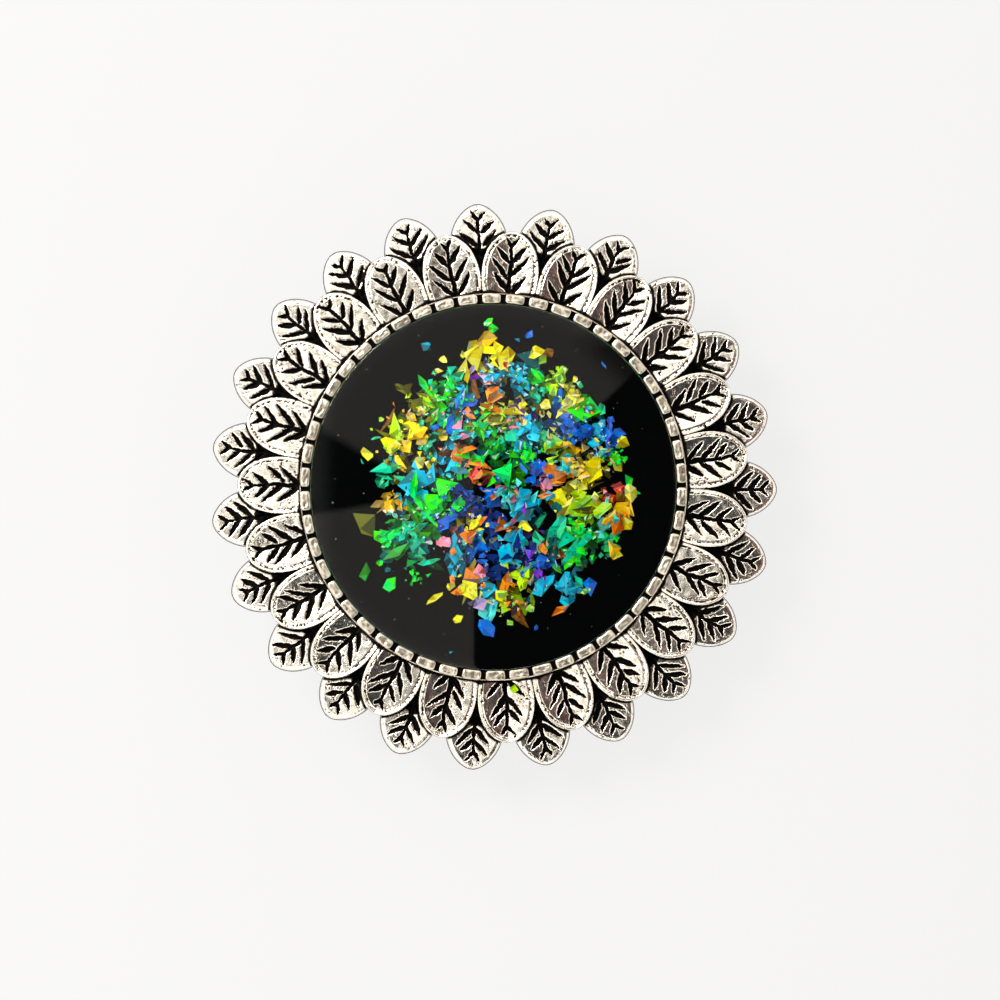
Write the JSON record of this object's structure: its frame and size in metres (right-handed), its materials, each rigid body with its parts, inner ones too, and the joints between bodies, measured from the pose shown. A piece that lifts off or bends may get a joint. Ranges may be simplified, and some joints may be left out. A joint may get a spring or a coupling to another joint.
{
  "type": "brooch",
  "caption": "Round leaf-framed brooch: a notched bezel holds a glossy black domed cabochon with iridescent flakes, and a bar pin with a turning lock is on its back.",
  "frame": {"origin": "on the round axis of the setting, level with the lowest point of the pin back, on which the brooch lies face up", "axes": "+Z is the way the decorated face looks; +X runs along the pin from its hinge to its lock; +Y is up across the face"},
  "size_m": [0.0463, 0.0464, 0.0096],
  "materials": {
    "antique_silver": "cast zinc alloy, silver plated and blackened in the recesses",
    "clear_glue": "clear two-part glue, slightly yellow",
    "black_resin": "opaque black resin, smooth",
    "clear_resin": "clear polished casting resin",
    "film_gold": "iridescent film, gold to yellow",
    "film_orange": "iridescent film, orange to red",
    "film_lime": "iridescent film, yellow green",
    "film_green": "iridescent film, green",
    "film_teal": "iridescent film, blue green",
    "film_cyan": "iridescent film, light blue",
    "film_blue": "iridescent film, deep blue",
    "film_violet": "iridescent film, pink to violet",
    "pin_steel": "stamped steel, silver plated",
    "stem_steel": "drawn steel wire, bright"
  },
  "bodies": {
    "brooch": {"setting": "antique_silver", "cabochon_glue": "clear_glue", "black_base": "black_resin", "clear_dome": "clear_resin", "flakes_gold": "film_gold", "flakes_orange": "film_orange", "flakes_lime": "film_lime", "flakes_green": "film_green", "flakes_teal": "film_teal", "flakes_cyan": "film_cyan", "flakes_blue": "film_blue", "flakes_violet": "film_violet", "stray_flake": "film_green", "pin_bar": "pin_steel", "bar_glue": "clear_glue", "hinge_rivet": "pin_steel", "catch": "pin_steel"},
    "stem": {"pin_stem": "stem_steel"},
    "lock": {"lock_barrel": "pin_steel"}
  },
  "joints": [
    {"name": "stem_swing", "type": "hinge", "parent": "brooch", "child": "stem", "pos_m": [-0.011, 0, 0.00175], "axis": [0, 1, 0], "range_deg": [0, 110]},
    {"name": "lock_turn", "type": "hinge", "parent": "brooch", "child": "lock", "pos_m": [0.0102, 0, 0.00175], "axis": [-1, 0, 0], "range_deg": [0, 150]}
  ]
}
